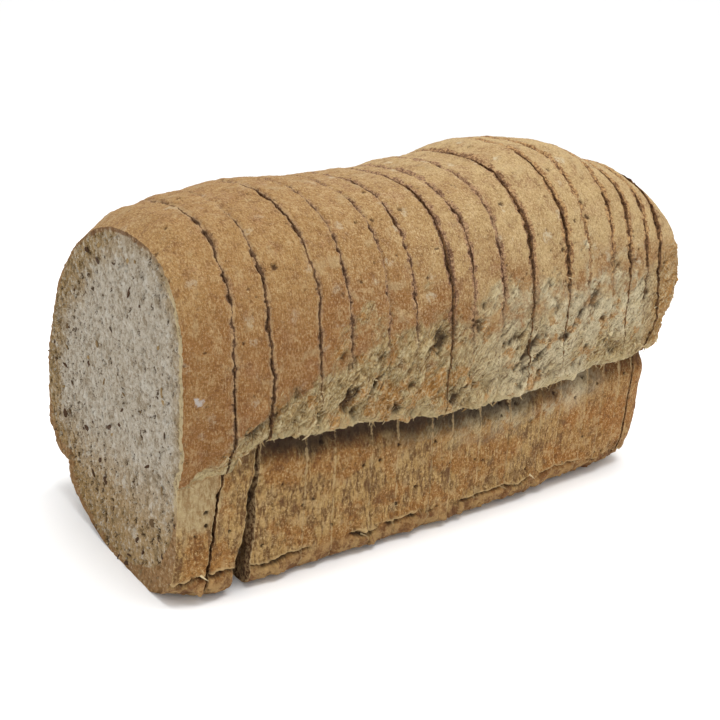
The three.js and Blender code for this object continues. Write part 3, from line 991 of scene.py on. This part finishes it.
def torn_tone(n, form):
    """Cream and olive strands with golden scraps of whole crust, over clefts in painted shade."""
    x = n.axis(form, 0)
    strand, thread = shreds(n, form), fibres(n, form)
    tone = n.blend(n.step(strand, 0.40, 0.50), colour(138, 102, 58), colour(204, 172, 114))
    tone = n.blend(n.step(strand, 0.50, 0.60), tone, colour(234, 212, 160))
    olive = n.step(n.noise(n.moved(form, 1.0, 6.0, 2.0), 1.6, 5.0, 0.68), 0.50, 0.62)
    tone = n.blend(n.product(olive, 0.5), tone, colour(166, 142, 90))
    pale = n.product(n.step(x, 9.0, 14.5), n.step(x, 20.0, 18.5), n.step(n.noise(form, 0.6, 3.0), 0.34, 0.52))
    tone = n.blend(n.product(pale, 0.8), tone, colour(250, 234, 194))
    golden = n.sum(n.noise(n.moved(form, 2.0, 8.0, 1.0), 0.95, 5.0, 0.62), n.step(x, 12.0, 8.0, 0.0, 0.035))
    golden = n.math("MAXIMUM", n.step(golden, 0.54, 0.61), n.step(x, 18.8, 20.4, 0.0, 0.9))
    tone = n.blend(n.product(golden, 0.8), tone, colour(204, 142, 64))
    tone = n.speckled(tone, thread, colour(98, 68, 38), 0.6, colour(250, 234, 190), 0.6)
    crumbs = n.noise(form, 11.0, 4.0, 0.8)
    tone = n.speckled(tone, crumbs, colour(92, 62, 34), 0.45, colour(250, 236, 196), 0.45)
    # Painted shade in the clefts between the strands
    return n.blend(n.product(clefts(n, form), 0.9), tone, colour(62, 40, 26)), thread


def wall_tone(n, form, above, torn_crust):
    """Brown with a fine upright grain, in painted shade under the ledge and in its pits, with a torn fold
    along the foot.
    """
    x, y, z = (n.axis(form, i) for i in range(3))
    streak = wall_streaks(n, form)
    tone = n.blend(n.step(streak, 0.40, 0.58), colour(130, 92, 50), colour(198, 158, 96))
    warm = n.sum(n.step(n.noise(form, 0.6, 5.0, 0.64), 0.47, 0.58), n.step(x, 14.0, 17.0, 0.0, 0.7))
    tone = n.blend(n.math("MINIMUM", n.product(warm, 0.65), 0.85), tone, colour(172, 110, 42))
    speckle = n.noise(n.joined(n.product(x, 1.3), y, z), 10.0, 5.0, 0.8)
    tone = n.speckled(tone, speckle, colour(84, 52, 28), 0.7, colour(240, 208, 148), 0.75)
    blotch = n.noise(n.moved(form, 3.0, 1.0, 6.0), 1.9, 6.0, 0.72)
    tone = n.speckled(tone, blotch, colour(104, 66, 36), 0.55, colour(222, 188, 132), 0.45)
    torn_on = n.product(n.step(above, -19.0, -6.0), n.step(x, 7.0, 9.5), n.step(x, 18.5, 17.0),
                        n.step(n.noise(form, 0.9, 4.0, 0.6), 0.38, 0.54))
    tone = n.blend(n.product(torn_on, 0.8), tone, torn_crust)
    first = n.product(n.step(n.sum(x, n.centred(n.noise(form, 1.2, 4.0, 0.65), 1.4)), 1.7, 0.9),
                      n.step(n.sum(z, n.centred(n.noise(form, 1.0, 4.0, 0.65), 2.4)), 2.2, 2.8))
    cream = n.blend(n.step(streak, 0.4, 0.6), colour(176, 142, 94), colour(206, 180, 132))
    cream = n.speckled(cream, speckle, colour(132, 98, 60), 0.4, colour(226, 206, 164), 0.6)
    tone = n.blend(first, tone, cream)
    # Painted shade in the wall's pits
    tone = n.blend(n.product(wall_pits(n, form), 0.85), tone, colour(54, 34, 22))
    over_fold = fold_line(n, form, n.product(z, 10.0))
    folded = fold_presence(n, form)
    crack_shade = n.product(n.step(over_fold, -0.9, -0.1), n.step(over_fold, 0.9, 0.1), folded)
    lip = n.product(n.step(over_fold, 0.3, 0.9), n.step(over_fold, 2.2, 1.2), folded)
    foot_patch = n.step(n.noise(form, 1.7, 6.0, 0.74), 0.43, 0.57)
    foot_tone = n.blend(foot_patch, colour(128, 82, 48), colour(210, 170, 112))
    tone = n.blend(n.product(n.step(over_fold, 0.5, -2.0), 0.7), tone, foot_tone)
    tone = n.blend(n.product(lip, 0.75), tone, colour(232, 198, 140))
    # Painted shade in the fold's crack
    tone = n.blend(n.product(crack_shade, 0.85), tone, colour(56, 36, 24))
    shade_edge = n.sum(above, n.centred(n.noise(form, 1.0, 4.0, 0.6), 10.0))
    shade = n.product(n.step(shade_edge, -11.0, -3.0), n.step(x, 1.8, 3.2), n.step(y, 1.0, -1.0))
    return n.blend(n.product(shade, n.step(x, 12.0, 17.0, 0.9, 0.55)), tone, colour(46, 28, 18))


def with_cut_edges(n, form, tone, torn, from_cut):
    """Crumbled brown edges over the dome, broken by painted shade along the cuts where the slices part, and
    thin pale threads lower down.
    """
    x = n.axis(form, 0)
    uneven = n.noise(form, 2.6, 5.0, 0.74)
    on_dome = n.product(n.step(torn, 0.5, 1.3), n.step(x, 0.35, 0.75))
    reach = n.sum(n.centred(uneven, 7.0), n.step(x, 7.0, 12.0, 0.1, 0.75))
    crumbled = n.step(n.math("SUBTRACT", from_cut, reach), 0.9, 0.3)
    grain = n.step(n.noise(form, 9.0, 5.0, 0.8), 0.44, 0.56)
    crumbs = n.blend(grain, colour(110, 68, 48), colour(206, 164, 122))
    warm_crumbs = n.blend(grain, colour(132, 80, 36), colour(224, 176, 106))
    crumbs = n.blend(n.step(x, 12.0, 15.0, 0.0, 0.6), crumbs, warm_crumbs)
    dark = n.step(n.math("SUBTRACT", from_cut, n.centred(uneven, 3.2)), 0.40, 0.1)
    pale = n.step(n.math("SUBTRACT", from_cut, n.centred(n.noise(form, 1.8, 4.0, 0.7), 3.0)), 1.0, 0.5)
    thread = n.step(n.math("SUBTRACT", from_cut, n.centred(n.noise(form, 3.5, 4.0, 0.7), 2.4)), 0.3, 0.05)
    tone = n.blend(n.product(thread, n.step(torn, 0.6, 0.0), 0.65), tone, colour(226, 194, 140))
    pale = n.product(pale, n.step(torn, 0.5, 1.3), n.step(x, 9.0, 5.0), n.step(x, 0.5, 0.9), 0.5)
    tone = n.blend(pale, tone, colour(214, 180, 130))
    tone = n.blend(n.product(crumbled, on_dome, n.step(x, 3.0, 8.0, 0.4, 0.85)), tone, crumbs)
    # Painted shade along the cut edges over the dome, where the gaps between the slices open
    return n.blend(n.product(dark, on_dome, 0.75), tone, colour(80, 48, 32))


def crust_material():
    """Baked crust: golden dome with pale flecks and pores, torn band, grained lower wall."""
    material, n, shader = new_material("baked crust", 0.75, 0.25)
    form = n.field("form", vector=True)
    above, torn, from_cut = n.field("above_rim"), n.field("torn"), n.field("from_cut")
    dome, streaks = dome_tone(n, form, torn)
    torn_crust, thread = torn_tone(n, form)
    band = torn_mask(n, form)
    wall = wall_tone(n, form, above, torn_crust)
    tone = n.blend(n.product(band, 0.94), dome, torn_crust)
    rolled = n.product(band, n.step(above, 0.2, 1.2), n.step(above, 7.0, 3.0),
                       n.step(n.noise(form, 1.5, 5.0, 0.68), 0.42, 0.56))
    tone = n.blend(n.product(rolled, 0.6), tone, colour(232, 210, 158))
    tone = n.blend(n.step(above, 0.6, -0.8), tone, wall)
    tone = with_cut_edges(n, form, tone, torn, from_cut)
    n.put(shader.inputs["Base Color"], tone)
    grain = n.sum(n.noise(form, 20.0, 4.0, 0.78), n.product(streaks, 0.8), n.product(thread, band, 2.0))
    add_grain(n, shader, grain, 0.9, 0.0009)
    return material


def crumb_material():
    """Open grey-white crumb, beige towards the crust, with dark specks and painted shade in its holes."""
    material, n, shader = new_material("open crumb", 0.9, 0.2)
    form = n.field("form", vector=True)
    depth = n.field("depth")
    x, y, z = (n.axis(form, i) for i in range(3))
    patch = n.noise(form, 0.7, 5.0, 0.66)
    shift = n.centred(patch, 30.0)
    near_side = n.step(y, 2.5, -2.5, 0.0, 9.0)
    inner = n.step(n.sum(depth, shift, near_side), 5.0, 20.0)
    tone = n.blend(inner, colour(178, 148, 100), colour(210, 197, 176))
    low = n.step(n.sum(z, n.product(shift, 0.05)), 4.8, 1.6)
    tone = n.blend(n.product(low, 0.85), tone, colour(188, 152, 96))
    stucco = crumb_stucco(n, form)
    clouds = n.noise(n.moved(form, 6.0, 2.0, 3.0), 1.8, 7.0, 0.74)
    tone = n.speckled(tone, clouds, colour(140, 118, 82), 0.6, colour(238, 232, 218), 0.5)
    tone = n.speckled(tone, stucco, colour(128, 106, 72), 0.6, colour(242, 236, 220), 0.5)
    outer = n.step(inner, 1.0, 0.0, 0.3, 1.0)
    olive = n.product(n.step(n.noise(n.moved(form, 2.0, 5.0, 8.0), 3.0, 5.0, 0.76), 0.51, 0.60), outer)
    tone = n.blend(n.product(olive, 0.75), tone, colour(120, 94, 52))
    # Painted shade in the crumb's pits
    tone = n.blend(n.product(crumb_pits(n, form), 0.9), tone, colour(88, 66, 42))
    corner = n.product(n.step(z, 2.6, 1.2), n.step(y, -1.0, -3.4), 6.0)
    far_wedge = n.product(n.step(y, 3.0, 4.2), n.step(z, 4.2, 3.4), 2.6)
    ragged_rim = n.centred(n.noise(form, 1.9, 6.0, 0.74), 4.5)
    rim_width = n.sum(0.9, ragged_rim, n.step(z, 3.8, 1.4, 0.0, 1.6), corner, far_wedge,
                      n.step(y, -3.8, -4.8, 0.0, 1.3), n.step(z, 10.0, 11.4, 0.0, 0.2))
    rim = n.step(n.math("SUBTRACT", depth, rim_width), 0.5, -0.3)
    cream_side = n.product(n.step(y, -2.8, -4.0), n.step(z, 2.5, 4.0))
    rim_tone = n.blend(cream_side, colour(166, 124, 78), colour(222, 200, 154))
    rim_tone = n.blend(n.step(z, 9.8, 11.0, 0.0, 0.7), rim_tone, colour(114, 70, 38))
    rim_tone = n.speckled(rim_tone, stucco, colour(108, 74, 44), 0.6, colour(230, 204, 156), 0.5)
    tone = n.blend(n.product(rim, 0.85), tone, rim_tone)
    # Crumb faces seen between the slices near the crust: their own browner crumb darkened with painted shade
    # in the gaps, and painted light on the third slice's showing front
    between = n.product(n.step(depth, 9.0, 3.0), n.step(x, 0.4, 0.7))
    gap_fuzz_in_shade = n.blend(n.step(stucco, 0.44, 0.58), colour(96, 60, 36), colour(180, 130, 82))
    third_front = n.product(n.step(x, 1.9, 2.1), n.step(x, 3.4, 3.0), n.step(z, 5.6, 4.6))
    lit_fuzz = n.blend(n.step(stucco, 0.45, 0.56), colour(112, 78, 48), colour(236, 198, 146))
    gap_fuzz_in_shade = n.blend(third_front, gap_fuzz_in_shade, lit_fuzz)
    tone = n.blend(n.product(between, 0.9), tone, gap_fuzz_in_shade)
    n.put(shader.inputs["Base Color"], tone)
    add_grain(n, shader, n.noise(form, 18.0, 4.0, 0.78), 0.9, 0.001)
    return material


def shred_material():
    material, n, shader = new_material("torn shreds", 0.85, 0.2)
    form = n.field("form", vector=True)
    patch = n.step(n.noise(form, 3.0, 4.0, 0.7), 0.36, 0.62)
    tone = n.blend(patch, colour(150, 118, 74), colour(222, 200, 156))
    n.put(shader.inputs["Base Color"], tone)
    return material


def seed_material():
    material, n, shader = new_material("dark seeds", 0.8, 0.15)
    form = n.field("form", vector=True)
    tone = n.blend(n.step(n.noise(form, 1.6, 2.0), 0.48, 0.62), colour(78, 56, 38), colour(160, 134, 92))
    n.put(shader.inputs["Base Color"], tone)
    return material


def floor_material():
    material, _, shader = new_material("white studio floor", 0.9, 0.1)
    shader.inputs["Base Color"].default_value = (0.93, 0.93, 0.93, 1)
    return material


# The scene

def add_object(name, mesh):
    obj = bpy.data.objects.new(name, mesh)
    bpy.context.collection.objects.link(obj)
    return obj


def set_input(modifier, label, value):
    for item in modifier.node_group.interface.items_tree:
        if item.item_type == "SOCKET" and item.in_out == "INPUT" and item.name == label:
            modifier[item.identifier] = value


def make_slices():
    crust, crumb, shred, seed = crust_material(), crumb_material(), shred_material(), seed_material()
    relief = relief_tree("crust and crumb relief")
    for number in range(SLICES):
        name = f"slice_{number + 1:02d}"
        piece = add_object(f"{name}_bread", slice_mesh(number, crust, crumb))
        modifier = piece.modifiers.new("relief", "NODES")
        modifier.node_group = relief
        set_input(modifier, "Shred material", shred)
        set_input(modifier, "Seed material", seed)
        if number == 0:
            set_input(modifier, "Seed density", CUT_END_SEEDS)
        solved(piece)
        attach(piece, "root")
        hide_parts(name)


def make_floor(heading):
    """A white sweep: flat under the loaf, curving up to a wall far behind it."""
    reach, radius, wall, wide = 1.4, 1.2, 3.0, 5.0
    profile = [(-4.0, 0.0), (reach, 0.0)]
    for step in range(1, 25):
        a = step / 24 * math.pi / 2
        profile.append((reach + radius * math.sin(a), radius * (1 - math.cos(a))))
    profile.append((reach + radius, wall))
    ahead = (math.sin(heading), math.cos(heading))
    aside = (math.cos(heading), -math.sin(heading))
    points = [(ahead[0] * d + aside[0] * s, ahead[1] * d + aside[1] * s, z)
              for d, z in profile for s in (-wide, wide)]
    faces = [(i, i + 1, i + 3, i + 2) for i in range(0, len(points) - 2, 2)]
    mesh = bpy.data.meshes.new("floor")
    mesh.from_pydata(points, [], faces, shade_flat=False)
    mesh.materials.append(floor_material())
    add_object("floor", mesh)


def make_lights():
    world = bpy.data.worlds.new("studio")
    world.use_nodes = True
    background = world.node_tree.nodes["Background"]
    background.inputs[0].default_value = (1.0, 1.0, 1.0, 1)
    background.inputs[1].default_value = 1.0
    bpy.context.scene.world = world
    add_softbox("overhead softbox", place=(0.1, -0.25, 1.2), target=(0, 0, 0.05), size=0.7, power=14)


def add_softbox(name, place, target, size, power):
    light = bpy.data.lights.new(name, "AREA")
    light.shape = "SQUARE"
    light.size = size
    light.energy = power
    obj = add_object(name, light)
    direction = Vector(target) - Vector(place)
    obj.rotation_euler = direction.to_track_quat("-Z", "Y").to_euler()
    obj.location = place


# The camera's place in metres, its angles in degrees, and its lens and sensor in millimetres
CAMERA_PLACE = (-0.2210, -0.3128, 0.1663)
HEADING, DROP, ROLL = (math.radians(a) for a in (34.665, 16.939, -0.212))
LENS = 51.2
SENSOR_WIDTH = 36


def make_camera():
    """The photograph's camera: close to the cut end, looking along and down the near side."""
    forward = Vector((math.sin(HEADING) * math.cos(DROP), math.cos(HEADING) * math.cos(DROP),
                      -math.sin(DROP)))
    right = Vector((math.cos(HEADING), -math.sin(HEADING), 0))
    up = right.cross(forward)
    turned_right = right * math.cos(ROLL) + up * math.sin(ROLL)
    turned_up = up * math.cos(ROLL) - right * math.sin(ROLL)
    camera = bpy.data.cameras.new("camera")
    camera.sensor_width = SENSOR_WIDTH
    camera.lens = LENS
    obj = add_object("camera", camera)
    columns = Matrix((turned_right, turned_up, -forward)).transposed()
    obj.matrix_world = Matrix.Translation(CAMERA_PLACE) @ columns.to_4x4()
    bpy.context.scene.camera = obj


bpy.context.scene.view_settings.view_transform = "Standard"
make_slices()
make_floor(HEADING)
make_lights()
make_camera()
